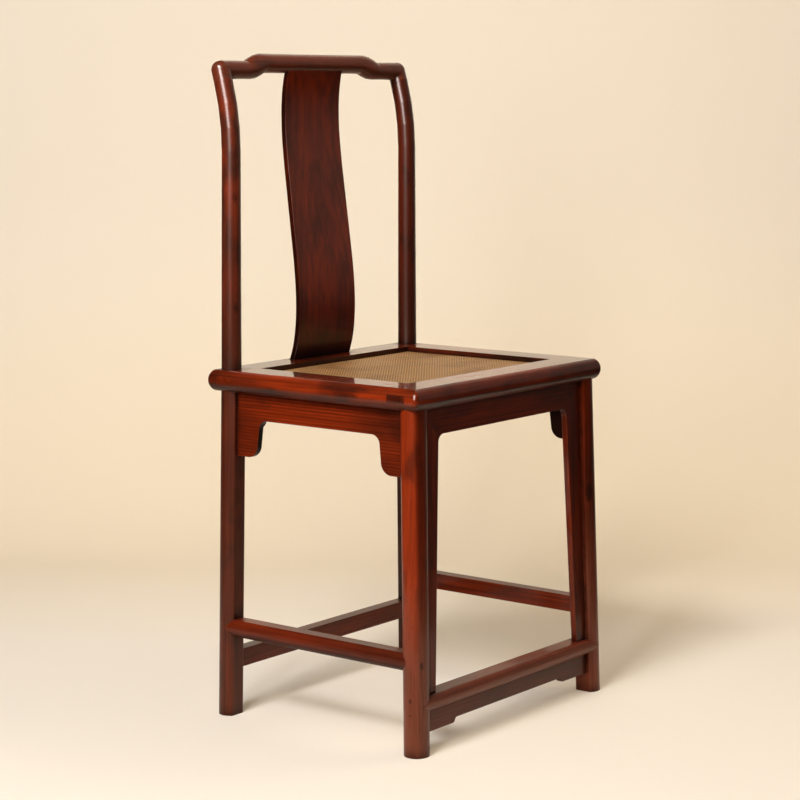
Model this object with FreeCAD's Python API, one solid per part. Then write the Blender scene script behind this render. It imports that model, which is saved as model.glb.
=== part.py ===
import FreeCAD, Part
import math
import os

from FreeCAD import Vector

# A yoke-back side chair: a hardwood frame of housed and tenoned members with a woven cane seat.
# Millimetres. +Z is up, the floor is z = 0, the chair faces -Y and the sitter's right is -X.
# The origin lies on the floor under the middle of the finished chair.

# Seat frame
SEAT_TOP = 500.0
SEAT_THICK = 30.0
SEAT_HALF_WIDTH = 225.5
SEAT_HALF_DEPTH = 188.5
RAIL_FACE = 55.5            # from a rail's outer edge to the cane
NOSE_DEPTH = 10.0           # swell of the rounded outer edge
CORNER_ROUND = 8.0          # rounding of the seat's corners at their fullest line
LEDGE_WIDTH = 10.0          # step that carries the rim of the cane
MAT_DROP = 7.0              # the cane lies this far below the frame's top
MAT_THICK = 2.0
WEBBING_THICK = 3.0
MAT_CLEARANCE = 0.3

# Through tenons of the front and rear rails, seen as end grain on the side rails
TENON_INNER = 138.0
TENON_OUTER = 168.0
TENON_LOW = 479.5
TENON_HIGH = 491.5

# Legs: round outside, square inside, splayed towards the feet
LEG_RADIUS = 17.65
LEG_FLAT = 13.4             # distance of the flat inner faces from the axis
FRONT_CORNER = 1.5          # rounding of the inner corner
REAR_CORNER = 5.0
LEG_TOP_X = 201.0
LEG_FOOT_X = 211.0
FRONT_TOP_Y = -165.0
FRONT_FOOT_Y = -178.0
REAR_TOP_Y = 157.5
REAR_FOOT_Y = 161.0
LEG_TENON_SIDE = 7.6
LONG_TENON = (-4.0, -9.2, 20.0)     # place from the leg's axis, and rise, in the front rail
SHORT_TENON = (8.0, 3.8, 8.0)       # the same in the side rail

# Back posts, one piece with the rear legs, straight and then bent backwards
POST_RADIUS_SEAT = 14.3
POST_RADIUS_TOP = 13.3
POST_SEAT_X = 203.3         # place of the axis at the seat's underside
POST_SEAT_Y = 159.4
POST_LEAN_IN = 0.0097       # inward run per millimetre of height
POST_LEAN_FORWARD = 0.0054
POST_BEND_START = 806.0
POST_BEND_RADIUS = 340.0
POST_BEND_ANGLE = 16.9      # up to the joint with the crest rail
BEND_STEPS = 3
POST_TENON_SIDE = 12.0
POST_TENON_LENGTH = 14.0

# Crest rail: low shoulders, a raised centre and round elbows over the posts
ELBOW_RISE = 16.0           # from the seam to the elbow's centre, along the post
ELBOW_RADIUS = 13.4
SHOULDER_HALF_DEPTH = 12.8
CREST_BOW = 4.0             # the rail's middle stands this far behind its ends
SHOULDER_TOP = 933.3
SHOULDER_BOTTOM = 907.5
CENTRE_TOP = 943.6
CENTRE_BOTTOM = 916.2
TOP_RISE = (116.0, 147.0)       # where the upper outline leaves the centre and meets the shoulder
BOTTOM_RISE = (108.7, 137.0)    # the same for the lower outline
CREST_LEVEL = 66.0          # half the straight length that receives the splat
SHOULDER_MIDDLE = 165.0
CREST_STUB = 183.0          # from here to the elbow the rail is a plain round
STUB_RADIUS = 13.2
RISE_STEPS = 4

# Back splat: an S-shaped board, tongued into the crest rail and let into the rear seat rail
SPLAT_THICK = 9.0
SPLAT_HALF_BOTTOM = 64.6
SPLAT_HALF_TOP = 60.3
# Height and distance back of points on the board's middle
SPLAT_CURVE = ((488.0, 171.5), (530.0, 158.0), (573.0, 154.0), (650.0, 159.2), (790.0, 176.9),
               (857.0, 181.8), (924.0, 173.5))
SPLAT_FAIRNESS = 0.3        # the faces are worked as arcs this close to the curve
TONGUE_HALF_WIDTH = 55.0
TONGUE_THICK = 5.0
TONGUE_TOP = 928.0
TONGUE_ROOT = 912.0

# Aprons and the strips that line the front opening
BOARD_THICK = 9.5
BOARD_PROUD = 6.0           # outer face in front of the legs' axes
HOUSING = 4.0               # how deep the boards stand in the legs and the seat frame
APRON_BOTTOM = 431.6
SPANDREL_FLARE = 2.5        # a spandrel's edge leans outwards by this much
# Width of a spandrel, its lowest height, its rounded corner and the fillet under the apron
SIDE_SPANDREL = (40.3, 378.0, 18.0, 14.0)
REAR_SPANDREL = (57.0, 409.0, 12.0, 10.0)
STRIP_TOP_X = 154.5         # inner edge of the front strips under the apron
STRIP_FOOT_X = 173.0
FRONT_FILLET = 12.0

# Footrest and its apron
FOOTREST_TOP = 81.0
FOOTREST_BOTTOM = 59.5
FOOTREST_NOSE = 9.0
FOOTREST_PROUD = 0.6        # front of the footrest ahead of the legs
FOOTREST_POINT = 5.0        # the pointed shoulder runs this far past the leg's axis
FOOTREST_POINT_BACK = 7.0
TOE_END_BOTTOM = 28.2
TOE_MID_BOTTOM = 35.1
TOE_STEP = (126.0, 136.0)   # where the lower edge steps down towards the legs

# Stretchers: flat inside and rounded outside
SIDE_STRETCHER = (117.0, 141.6)
REAR_STRETCHER = (66.5, 93.0)
STRETCHER_DEPTH = 25.0
STRETCHER_SWELL = 6.2
STRETCHER_INSET = 0.3
STRETCHER_TENON_THICK = 10.0
STRETCHER_TENON_MARGIN = 4.0
STRETCHER_TENON_REACH = 2.0

# Bowed braces under the seat, and the pegs that hold the cane's strands in the ledge
BRACE_X = 58.0
BRACE_WIDTH = 20.0
BRACE_END = (471.0, 486.0)
BRACE_DIP = 11.0
BRACE_TENON = 14.0
BRACE_TENON_WIDTH = 12.0
BRACE_TENON_HEIGHT = (474.0, 483.0)
PEG_SIDE = 3.6
PEGS_WIDE = 8
PEGS_DEEP = 6

SEAT_UNDERSIDE = SEAT_TOP - SEAT_THICK
LEVEL_MIDDLE = (CENTRE_TOP + CENTRE_BOTTOM) / 2
LEVEL_RADIUS = (CENTRE_TOP - CENTRE_BOTTOM) / 2
NOSE_MIDDLE = SEAT_TOP - SEAT_THICK / 2
MAT_TOP = SEAT_TOP - MAT_DROP
LEDGE_TOP = MAT_TOP - MAT_THICK - WEBBING_THICK
CANE_HALF_WIDTH = SEAT_HALF_WIDTH - RAIL_FACE
CANE_HALF_DEPTH = SEAT_HALF_DEPTH - RAIL_FACE
OVER = 5.0                  # extra length of cutting shapes
LAP = 1.0                   # small overlap of shapes that become one piece
WIDE_AXIS = Vector(1, 0, 0)
DEEP_AXIS = Vector(0, 1, 0)
UP = Vector(0, 0, 1)


def block(x_range, y_range, z_range):
    """Box between pairs of coordinates, given in any order."""
    low = Vector(min(x_range), min(y_range), min(z_range))
    high = Vector(max(x_range), max(y_range), max(z_range))
    size = high - low
    return Part.makeBox(size.x, size.y, size.z, low)


def outline(start, steps, place):
    """Flat face from straight steps (one point) and arc steps (a point on the way and the end)."""
    edges = []
    here = place(*start)
    for step in steps:
        there = place(*step[-1])
        if len(step) == 1:
            edges.append(Part.makeLine(here, there))
        else:
            edges.append(Part.Arc(here, place(*step[0]), there).toShape())
        here = there
    return Part.Face(Part.Wire(edges))


def quarter(centre, radius, turn):
    """Point on a quarter arc, half way round, at the angle turn in degrees."""
    angle = math.radians(turn)
    return (centre[0] + radius * math.cos(angle), centre[1] + radius * math.sin(angle))


def s_bend(start, end):
    """Two equal arcs from start to end, level at both, as steps of an outline."""
    run = (end[0] - start[0]) / 2
    rise = (end[1] - start[1]) / 2
    half_turn = math.atan2(abs(rise), abs(run))
    radius = (run ** 2 + rise ** 2) / (2 * abs(rise))
    along = math.copysign(radius * math.sin(half_turn), run)
    away = math.copysign(radius * (1 - math.cos(half_turn)), rise)
    middle = (start[0] + run, start[1] + rise)
    return [((start[0] + along, start[1] + away), middle), ((end[0] - along, end[1] - away), end)]


def mirrored(shape):
    """The same piece on the sitter's other side."""
    return shape.mirror(Vector(0, 0, 0), WIDE_AXIS)


def biggest_solid(shape):
    return max(shape.Solids, key=lambda solid: solid.Volume)


def between(low, high, share):
    return low + (high - low) * share


def leg_x(z):
    return between(LEG_FOOT_X, LEG_TOP_X, z / SEAT_UNDERSIDE)


def front_y(z):
    return between(FRONT_FOOT_Y, FRONT_TOP_Y, z / SEAT_UNDERSIDE)


def rear_y(z):
    return between(REAR_FOOT_Y, REAR_TOP_Y, z / SEAT_UNDERSIDE)


def leg_section(inward_y, corner):
    """Section of a left leg about its axis: a round outside and two flat inner faces."""
    edge = LEG_FLAT - corner
    bend = edge + corner * math.sqrt(0.5)
    half_chord = math.sqrt(LEG_RADIUS ** 2 - LEG_FLAT ** 2)
    bulge = LEG_RADIUS * math.sqrt(0.5)
    steps = [
        ((LEG_FLAT, edge),),
        ((bend, bend), (edge, LEG_FLAT)),
        ((-half_chord, LEG_FLAT),),
        ((-bulge, -bulge), (LEG_FLAT, -half_chord)),
    ]
    return outline((LEG_FLAT, -half_chord), steps, lambda run, deep: Vector(-run, inward_y * deep, -OVER))


def leg_shaft(axis_y_at, inward_y, corner):
    """Splayed left leg from the floor to the fullest line of the seat's rounded edge."""
    foot = Vector(leg_x(0.0), axis_y_at(0.0), 0)
    top = Vector(leg_x(NOSE_MIDDLE), axis_y_at(NOSE_MIDDLE), NOSE_MIDDLE)
    shaft = leg_section(inward_y, corner).extrude(UP * (NOSE_MIDDLE + 3 * OVER))
    shaft.Placement = FreeCAD.Placement(foot, FreeCAD.Rotation(UP, top - foot))
    reach = SEAT_HALF_WIDTH + LEG_RADIUS
    return shaft.common(block((0.0, reach), (-reach, reach), (0.0, NOSE_MIDDLE)))


def post_direction():
    """Run of the straight part of the left back post."""
    return Vector(-POST_LEAN_IN, -POST_LEAN_FORWARD, 1.0).normalize()


def bend_start():
    """Centre of the left back post where its bend begins."""
    start = Vector(POST_SEAT_X, POST_SEAT_Y, SEAT_UNDERSIDE)
    return start + post_direction() * (POST_BEND_START - SEAT_UNDERSIDE)


def bend_turn():
    """Point and axis that the bend turns about."""
    back = DEEP_AXIS - post_direction() * DEEP_AXIS.dot(post_direction())
    back.normalize()
    return bend_start() + back * POST_BEND_RADIUS, post_direction().cross(back)


def post_end(rise):
    """Centre of the post's top, or of a place that much further along, and the way it points."""
    pivot, axis = bend_turn()
    turn = FreeCAD.Rotation(axis, POST_BEND_ANGLE)
    ahead = turn.multVec(post_direction())
    return pivot + turn.multVec(bend_start() - pivot) + ahead * rise, ahead


def post_ring(place, radius):
    return Part.Wire(Part.Circle(place, post_direction(), radius).toShape())


def back_post():
    """Left back post: through the seat frame, up in a straight taper, then bent backwards."""
    foot = Vector(POST_SEAT_X, POST_SEAT_Y, SEAT_UNDERSIDE)
    root_length = SEAT_THICK + LAP
    root = Part.makeCylinder(POST_RADIUS_SEAT, root_length, foot, post_direction())
    rings = [post_ring(foot + post_direction() * root_length, POST_RADIUS_SEAT)]
    pivot, axis = bend_turn()
    for step in range(BEND_STEPS + 1):
        ring = post_ring(bend_start(), POST_RADIUS_TOP)
        ring.rotate(pivot, axis, POST_BEND_ANGLE * step / BEND_STEPS)
        rings.append(ring)
    return root.fuse(Part.makeLoft(rings, True, True).toNurbs())


def post_tenon():
    """Square tenon on the top of the left back post."""
    seam, ahead = post_end(0.0)
    half = POST_TENON_SIDE / 2
    tenon = block((-half, half), (-half, half), (-LAP, POST_TENON_LENGTH))
    tenon.Placement = FreeCAD.Placement(seam, FreeCAD.Rotation(UP, ahead)).multiply(tenon.Placement)
    return tenon


def elbow_centre():
    return post_end(ELBOW_RISE)[0]


def crest_top(x):
    start, end = TOP_RISE
    share = min(1.0, max(0.0, (abs(x) - start) / (end - start)))
    return SHOULDER_TOP + (CENTRE_TOP - SHOULDER_TOP) * math.cos(math.pi / 2 * share)


def crest_bottom(x):
    start, end = BOTTOM_RISE
    share = min(1.0, max(0.0, (abs(x) - start) / (end - start)))
    return CENTRE_BOTTOM - (CENTRE_BOTTOM - SHOULDER_BOTTOM) * math.sin(math.pi / 2 * share)


def crest_y(x):
    """Plan line of the crest rail, which stands further back in its middle than at its ends."""
    share = min(1.0, max(0.0, (abs(x) - CREST_LEVEL) / (CREST_STUB - CREST_LEVEL)))
    return elbow_centre().y + CREST_BOW * (1 + math.cos(math.pi * share)) / 2


def crest_ring(x, height, radius):
    """Round section of the crest rail."""
    return Part.Wire(Part.Circle(Vector(x, crest_y(x), height), WIDE_AXIS, radius).toShape())


def crest_oval(x):
    """Upright oval section of the crest rail, thinner from front to back at the shoulders."""
    share = min(1.0, (x - CREST_LEVEL) / (TOP_RISE[1] - CREST_LEVEL))
    half_depth = between(LEVEL_RADIUS, SHOULDER_HALF_DEPTH, share)
    half_height = (crest_top(x) - crest_bottom(x)) / 2
    centre = Vector(x, crest_y(x), crest_bottom(x) + half_height)
    oval = Part.Ellipse(centre + UP * half_height, centre - DEEP_AXIS * half_depth, centre)
    return Part.Wire(oval.toShape())


def crest_half():
    """Left half of the crest rail from its level middle to the round elbow and the socket on the post."""
    crisp_low = BOTTOM_RISE[0]
    crisp_top = TOP_RISE[1]
    level_ring = crest_ring(CREST_LEVEL, LEVEL_MIDDLE, LEVEL_RADIUS)
    flank = Part.makeLoft([level_ring, crest_oval(crisp_low)], True, True)
    ovals = [crest_oval(between(crisp_low, crisp_top, step / RISE_STEPS)) for step in range(RISE_STEPS + 1)]
    rise = Part.makeLoft(ovals, True, True)
    elbow = elbow_centre()
    stub_ring = crest_ring(CREST_STUB, elbow.z, STUB_RADIUS)
    shoulder = Part.makeLoft([ovals[-1], crest_oval(SHOULDER_MIDDLE), stub_ring], True, True)
    stub_start = Vector(CREST_STUB, elbow.y, elbow.z)
    stub = Part.makeCylinder(STUB_RADIUS, elbow.x - CREST_STUB, stub_start, WIDE_AXIS)
    ball = Part.makeSphere(ELBOW_RADIUS, elbow)
    seam, ahead = post_end(0.0)
    socket = Part.makeCylinder(POST_RADIUS_TOP, ELBOW_RISE, seam, ahead)
    return ball.fuse([socket, stub, shoulder, rise, flank])


def crest_rail():
    """Whole crest rail, worked from one piece of wood."""
    start = Vector(-CREST_LEVEL, crest_y(CREST_LEVEL), LEVEL_MIDDLE)
    level = Part.makeCylinder(LEVEL_RADIUS, 2 * CREST_LEVEL, start, WIDE_AXIS)
    return level.fuse([crest_half(), mirrored(crest_half())])


def back_splat():
    """S-shaped board, narrower at the top, long enough to reach into both rails."""
    def face_arcs(offset):
        curve = Part.BSplineCurve()
        points = [Vector(0, y + offset, z) for z, y in SPLAT_CURVE]
        curve.interpolate(points)
        return [arc.toShape() for arc in curve.toBiArcs(SPLAT_FAIRNESS)], points[0], points[-1]

    front, front_low, front_high = face_arcs(-SPLAT_THICK / 2)
    back, back_low, back_high = face_arcs(SPLAT_THICK / 2)
    ends = [Part.makeLine(front_high, back_high), Part.makeLine(front_low, back_low)]
    profile = Part.Face(Part.Wire(Part.__sortEdges__(front + back + ends)))
    profile.translate(Vector(-SPLAT_HALF_BOTTOM - OVER, 0, 0))
    board = profile.extrude(Vector(2 * (SPLAT_HALF_BOTTOM + OVER), 0, 0))
    low = SPLAT_CURVE[0][0]
    high = SPLAT_CURVE[-1][0]
    corners = [
        (-SPLAT_HALF_BOTTOM, low),
        (SPLAT_HALF_BOTTOM, low),
        (SPLAT_HALF_TOP, high),
        (-SPLAT_HALF_TOP, high),
    ]
    front_view = Part.Face(Part.makePolygon([Vector(x, 0, z) for x, z in corners + corners[:1]]))
    return board.common(front_view.extrude(Vector(0, SEAT_HALF_DEPTH + OVER, 0)))


def splat_tongue():
    """Upright tongue on the splat's top edge."""
    middle = crest_y(0.0)
    y_range = (middle - TONGUE_THICK / 2, middle + TONGUE_THICK / 2)
    return block((-TONGUE_HALF_WIDTH, TONGUE_HALF_WIDTH), y_range, (TONGUE_ROOT, TONGUE_TOP))


def rail_profile(place):
    """Section of a seat rail: rounded outside, a step for the cane inside."""
    rim = RAIL_FACE + LEDGE_WIDTH
    steps = [
        ((RAIL_FACE, SEAT_TOP),),
        ((RAIL_FACE, LEDGE_TOP),),
        ((rim, LEDGE_TOP),),
        ((rim, SEAT_UNDERSIDE),),
        ((NOSE_DEPTH, SEAT_UNDERSIDE),),
        ((0.0, NOSE_MIDDLE), (NOSE_DEPTH, SEAT_TOP)),
    ]
    return outline((NOSE_DEPTH, SEAT_TOP), steps, place)


def mitre_prism(corners):
    """Upright prism over a plan outline, used to cut rails to their mitres."""
    points = [Vector(x, y, SEAT_UNDERSIDE - OVER) for x, y in corners + corners[:1]]
    return Part.Face(Part.makePolygon(points)).extrude(Vector(0, 0, SEAT_THICK + 2 * OVER))


def seat_rails():
    """Front, rear and left seat rails, mitred, before their joints are cut."""
    wide = SEAT_HALF_WIDTH + OVER
    deep = SEAT_HALF_DEPTH + OVER
    inner = SEAT_HALF_WIDTH - SEAT_HALF_DEPTH
    front = rail_profile(lambda run, z: Vector(-wide, -SEAT_HALF_DEPTH + run, z))
    rear = rail_profile(lambda run, z: Vector(-wide, SEAT_HALF_DEPTH - run, z))
    side = rail_profile(lambda run, z: Vector(SEAT_HALF_WIDTH - run, -deep, z))
    front = front.extrude(Vector(2 * wide, 0, 0))
    rear = rear.extrude(Vector(2 * wide, 0, 0))
    side = side.extrude(Vector(0, 2 * deep, 0))
    front = front.common(mitre_prism([(-wide, -deep), (wide, -deep), (inner, 0), (-inner, 0)]))
    rear = rear.common(mitre_prism([(-wide, deep), (wide, deep), (inner, 0), (-inner, 0)]))
    side = side.common(mitre_prism([(wide, -deep), (wide, deep), (inner, 0)]))
    front_corner = seat_corner(-1)
    rear_corner = seat_corner(1)
    front = front.cut([front_corner, mirrored(front_corner)])
    rear = rear.cut([rear_corner, mirrored(rear_corner)])
    side = side.cut([front_corner, rear_corner])
    return front, rear, side


def seat_corner(facing):
    """Wood taken off the left front (-1) or rear (+1) corner of the seat to carry its round edge on."""
    edge_radius = (SEAT_THICK ** 2 / 4 + NOSE_DEPTH ** 2) / (2 * NOSE_DEPTH)
    half_height = math.sqrt(edge_radius ** 2 - (edge_radius - CORNER_ROUND) ** 2)
    middle = Vector(SEAT_HALF_WIDTH - CORNER_ROUND, facing * (SEAT_HALF_DEPTH - CORNER_ROUND), NOSE_MIDDLE)
    top = middle + UP * half_height
    bottom = middle - UP * half_height
    round_edge = Part.Arc(bottom, middle + WIDE_AXIS * CORNER_ROUND, top).toShape()
    half_disc = Part.Face(Part.Wire([round_edge, Part.makeLine(top, bottom)]))
    x_range = (middle.x, SEAT_HALF_WIDTH + OVER)
    y_range = (middle.y, facing * (SEAT_HALF_DEPTH + OVER))
    z_range = (SEAT_UNDERSIDE - OVER, SEAT_TOP + OVER)
    return block(x_range, y_range, z_range).cut(half_disc.revolve(middle, UP, 360))


def rail_tenon(facing):
    """Through tenon at the left end of the front (-1) or rear (+1) rail."""
    x_range = (CANE_HALF_WIDTH, SEAT_HALF_WIDTH + OVER)
    return block(x_range, (facing * TENON_INNER, facing * TENON_OUTER), (TENON_LOW, TENON_HIGH))


def front_leg_tenons():
    """Long tenon for the front rail and short tenon for the side rail, either side of the mitre."""
    tenons = []
    half = LEG_TENON_SIDE / 2
    for x, y, rise in (LONG_TENON, SHORT_TENON):
        corner = Vector(LEG_TOP_X + x - half, FRONT_TOP_Y + y - half, SEAT_UNDERSIDE)
        tenons.append(Part.makeBox(LEG_TENON_SIDE, LEG_TENON_SIDE, rise, corner))
    return tenons


def spandrel_board(low_end, high_end, spandrel, place):
    """Apron with a spandrel at each end; low_end and high_end give the board's ends at a height."""
    width, bottom, corner, fillet = spandrel
    top = SEAT_UNDERSIDE + HOUSING
    middle = (low_end(APRON_BOTTOM) + high_end(APRON_BOTTOM)) / 2
    reach = (high_end(APRON_BOTTOM) - low_end(APRON_BOTTOM)) / 2 - HOUSING - width
    neck = APRON_BOTTOM - fillet
    ankle = bottom + corner
    low_reach = reach + SPANDREL_FLARE
    toe = low_reach + corner
    toe_bend = quarter((toe, ankle), corner, 225)
    inner_bend = quarter((reach - fillet, neck), fillet, 45)
    steps = [
        ((high_end(top), top),),
        ((high_end(bottom), bottom),),
        ((middle + toe, bottom),),
        ((middle + toe_bend[0], toe_bend[1]), (middle + low_reach, ankle)),
        ((middle + reach, neck),),
        ((middle + inner_bend[0], inner_bend[1]), (middle + reach - fillet, APRON_BOTTOM)),
        ((middle - reach + fillet, APRON_BOTTOM),),
        ((middle - inner_bend[0], inner_bend[1]), (middle - reach, neck)),
        ((middle - low_reach, ankle),),
        ((middle - toe_bend[0], toe_bend[1]), (middle - toe, bottom)),
        ((low_end(bottom), bottom),),
        ((low_end(top), top),),
    ]
    return outline((low_end(top), top), steps, place)


def side_apron():
    """Left side apron, leaning with the legs."""
    def front_end(z):
        return front_y(z) + LEG_FLAT - HOUSING

    def rear_end(z):
        return rear_y(z) - LEG_FLAT + HOUSING

    outer = LEG_TOP_X + BOARD_PROUD
    face = spandrel_board(front_end, rear_end, SIDE_SPANDREL, lambda y, z: Vector(outer, y, z))
    board = face.extrude(Vector(-BOARD_THICK, 0, 0))
    lean = math.degrees(math.atan((LEG_FOOT_X - LEG_TOP_X) / SEAT_UNDERSIDE))
    board.rotate(Vector(LEG_TOP_X, 0, SEAT_UNDERSIDE), DEEP_AXIS, -lean)
    return board


def inner_leg_x(z):
    """End of the boards that stand between a left and a right leg."""
    return leg_x(z) - LEG_FLAT + HOUSING


def rear_apron():
    outer = REAR_TOP_Y + BOARD_PROUD
    def right_end(z):
        return -inner_leg_x(z)

    face = spandrel_board(right_end, inner_leg_x, REAR_SPANDREL, lambda x, z: Vector(x, outer, z))
    board = face.extrude(Vector(0, -BOARD_THICK, 0))
    lean = math.degrees(math.atan((REAR_FOOT_Y - REAR_TOP_Y) / SEAT_UNDERSIDE))
    board.rotate(Vector(0, REAR_TOP_Y, SEAT_UNDERSIDE), WIDE_AXIS, lean)
    return board


def lean_with_front_legs(board):
    lean = math.degrees(math.atan((FRONT_TOP_Y - FRONT_FOOT_Y) / SEAT_UNDERSIDE))
    board.rotate(Vector(0, FRONT_TOP_Y, SEAT_UNDERSIDE), WIDE_AXIS, -lean)
    return board


def front_place(x, z):
    return Vector(x, FRONT_TOP_Y - BOARD_PROUD, z)


def front_boards():
    """Front apron and its left strip, mitred at the corner of one round-cornered opening."""
    top = SEAT_UNDERSIDE + HOUSING
    bottom = FOOTREST_BOTTOM + OVER
    slope = (STRIP_FOOT_X - STRIP_TOP_X) / (APRON_BOTTOM - FOOTREST_TOP)
    neck_z = APRON_BOTTOM - FRONT_FILLET
    neck_x = STRIP_TOP_X + slope * FRONT_FILLET
    bend = quarter((neck_x - FRONT_FILLET, neck_z), FRONT_FILLET, 45)
    foot_x = STRIP_TOP_X + slope * (APRON_BOTTOM - bottom)
    steps = [
        ((inner_leg_x(top), top),),
        ((inner_leg_x(bottom), bottom),),
        ((foot_x, bottom),),
        ((neck_x, neck_z),),
        (bend, (neck_x - FRONT_FILLET, APRON_BOTTOM)),
        ((0.0, APRON_BOTTOM),),
        ((0.0, top),),
    ]
    half = outline((0.0, top), steps, front_place).extrude(Vector(0, BOARD_THICK, 0))
    reach = top - bend[1] + OVER
    mitre = [(bend[0] - OVER, bend[1] - OVER), (bend[0] + reach, bend[1] + reach), (bend[0] + reach, 0.0),
             (bend[0] - OVER, 0.0)]
    below = [Vector(x, FRONT_TOP_Y - BOARD_PROUD - OVER, z) for x, z in mitre + mitre[:1]]
    corner_cut = Part.Face(Part.makePolygon(below)).extrude(Vector(0, BOARD_THICK + 2 * OVER, 0))
    strip = half.common(corner_cut)
    half_apron = half.cut(corner_cut)
    apron = half_apron.fuse(mirrored(half_apron)).removeSplitter()
    return lean_with_front_legs(apron), lean_with_front_legs(strip)


def footrest_apron():
    """Board under the footrest, its lower edge stepped down at both ends."""
    start, end = TOE_STEP
    steps = [
        ((inner_leg_x(FOOTREST_BOTTOM), FOOTREST_BOTTOM),),
        ((inner_leg_x(TOE_END_BOTTOM), TOE_END_BOTTOM),),
        ((end, TOE_END_BOTTOM),),
    ]
    steps += s_bend((end, TOE_END_BOTTOM), (start, TOE_MID_BOTTOM))
    steps += [
        ((0.0, TOE_MID_BOTTOM),),
        ((0.0, FOOTREST_BOTTOM),),
    ]
    half = outline((0.0, FOOTREST_BOTTOM), steps, front_place).extrude(Vector(0, BOARD_THICK, 0))
    return lean_with_front_legs(half.fuse(mirrored(half)).removeSplitter())


def footrest():
    """Rail with a flat top and a rounded front, its ends pointed where they lap the legs."""
    middle = (FOOTREST_TOP + FOOTREST_BOTTOM) / 2
    front = front_y(middle) - LEG_RADIUS - FOOTREST_PROUD
    back = front_y(middle) + LEG_FLAT
    tip = leg_x(middle) + FOOTREST_POINT
    steps = [
        ((front, middle), (front + FOOTREST_NOSE, FOOTREST_BOTTOM)),
        ((back, FOOTREST_BOTTOM),),
        ((back, FOOTREST_TOP),),
        ((front + FOOTREST_NOSE, FOOTREST_TOP),),
    ]
    section = outline((front + FOOTREST_NOSE, FOOTREST_TOP), steps, lambda y, z: Vector(-tip - OVER, y, z))
    rail = section.extrude(Vector(2 * (tip + OVER), 0, 0))
    shoulder = leg_x(middle) - FOOTREST_POINT_BACK
    low = FOOTREST_BOTTOM - LAP
    high = FOOTREST_TOP + LAP
    front_view = [(shoulder, low), (tip, middle), (shoulder, high)]
    front_view += [(-x, z) for x, z in reversed(front_view)]
    points = [Vector(x, front - OVER, z) for x, z in front_view + front_view[:1]]
    pointed = Part.Face(Part.makePolygon(points)).extrude(Vector(0, back - front + 2 * OVER, 0))
    return rail.common(pointed)


def stretcher_section(depth_at, low, high):
    """Stretcher outline: depth_at places a run from the flat inner face towards the round outer one."""
    edge = STRETCHER_DEPTH - STRETCHER_SWELL
    steps = [
        ((edge, low),),
        ((STRETCHER_DEPTH, (low + high) / 2), (edge, high)),
        ((0.0, high),),
        ((0.0, low),),
    ]
    return outline((0.0, low), steps, depth_at)


def side_stretcher():
    """Left side stretcher between the legs' axes, and the tenons that enter the legs."""
    low, high = SIDE_STRETCHER
    middle = (low + high) / 2
    inner = leg_x(middle) + LEG_RADIUS - STRETCHER_INSET - STRETCHER_DEPTH
    start = front_y(middle)
    end = rear_y(middle)
    bar = stretcher_section(lambda run, z: Vector(inner + run, start, z), low, high)
    bar = bar.extrude(Vector(0, end - start, 0))
    x_range = (leg_x(middle) - STRETCHER_TENON_THICK / 2, leg_x(middle) + STRETCHER_TENON_THICK / 2)
    z_range = (low + STRETCHER_TENON_MARGIN, high - STRETCHER_TENON_MARGIN)
    front = block(x_range, (start - STRETCHER_TENON_REACH, start + LEG_FLAT + LAP), z_range)
    rear = block(x_range, (end - LEG_FLAT - LAP, end + STRETCHER_TENON_REACH), z_range)
    return bar, [front, rear]


def rear_stretcher():
    low, high = REAR_STRETCHER
    middle = (low + high) / 2
    inner = rear_y(middle) + LEG_RADIUS - STRETCHER_INSET - STRETCHER_DEPTH
    end = leg_x(middle)
    bar = stretcher_section(lambda run, z: Vector(-end, inner + run, z), low, high)
    bar = bar.extrude(Vector(2 * end, 0, 0))
    y_range = (rear_y(middle) - STRETCHER_TENON_THICK / 2, rear_y(middle) + STRETCHER_TENON_THICK / 2)
    z_range = (low + STRETCHER_TENON_MARGIN, high - STRETCHER_TENON_MARGIN)
    left = block((end - LEG_FLAT - LAP, end + STRETCHER_TENON_REACH), y_range, z_range)
    return bar, left


def footrest_tenon():
    middle = (FOOTREST_TOP + FOOTREST_BOTTOM) / 2
    x_range = (leg_x(middle) - LEG_FLAT - LAP, leg_x(middle) + STRETCHER_TENON_REACH)
    y_range = (front_y(middle) - STRETCHER_TENON_THICK / 2, front_y(middle) + STRETCHER_TENON_THICK / 2)
    z_range = (FOOTREST_BOTTOM + STRETCHER_TENON_MARGIN, FOOTREST_TOP - STRETCHER_TENON_MARGIN)
    return block(x_range, y_range, z_range)


def seat_brace():
    """Left bowed brace from the front rail to the rear rail, dipping clear of the cane."""
    end = SEAT_HALF_DEPTH - RAIL_FACE - LEDGE_WIDTH
    low, high = BRACE_END
    side = BRACE_X - BRACE_WIDTH / 2
    steps = [
        ((0.0, high - BRACE_DIP), (end, high)),
        ((end, low),),
        ((0.0, low - BRACE_DIP), (-end, low)),
        ((-end, high),),
    ]
    brace = outline((-end, high), steps, lambda y, z: Vector(side, y, z)).extrude(Vector(BRACE_WIDTH, 0, 0))
    x_range = (BRACE_X - BRACE_TENON_WIDTH / 2, BRACE_X + BRACE_TENON_WIDTH / 2)
    tenons = [block(x_range, (facing * (end - LAP), facing * (end + BRACE_TENON)), BRACE_TENON_HEIGHT)
              for facing in (-1, 1)]
    return brace.fuse(tenons).removeSplitter()


def cane_layer(low, thick):
    half_width = CANE_HALF_WIDTH - MAT_CLEARANCE
    half_depth = CANE_HALF_DEPTH - MAT_CLEARANCE
    return block((-half_width, half_width), (-half_depth, half_depth), (low, low + thick))


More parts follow.
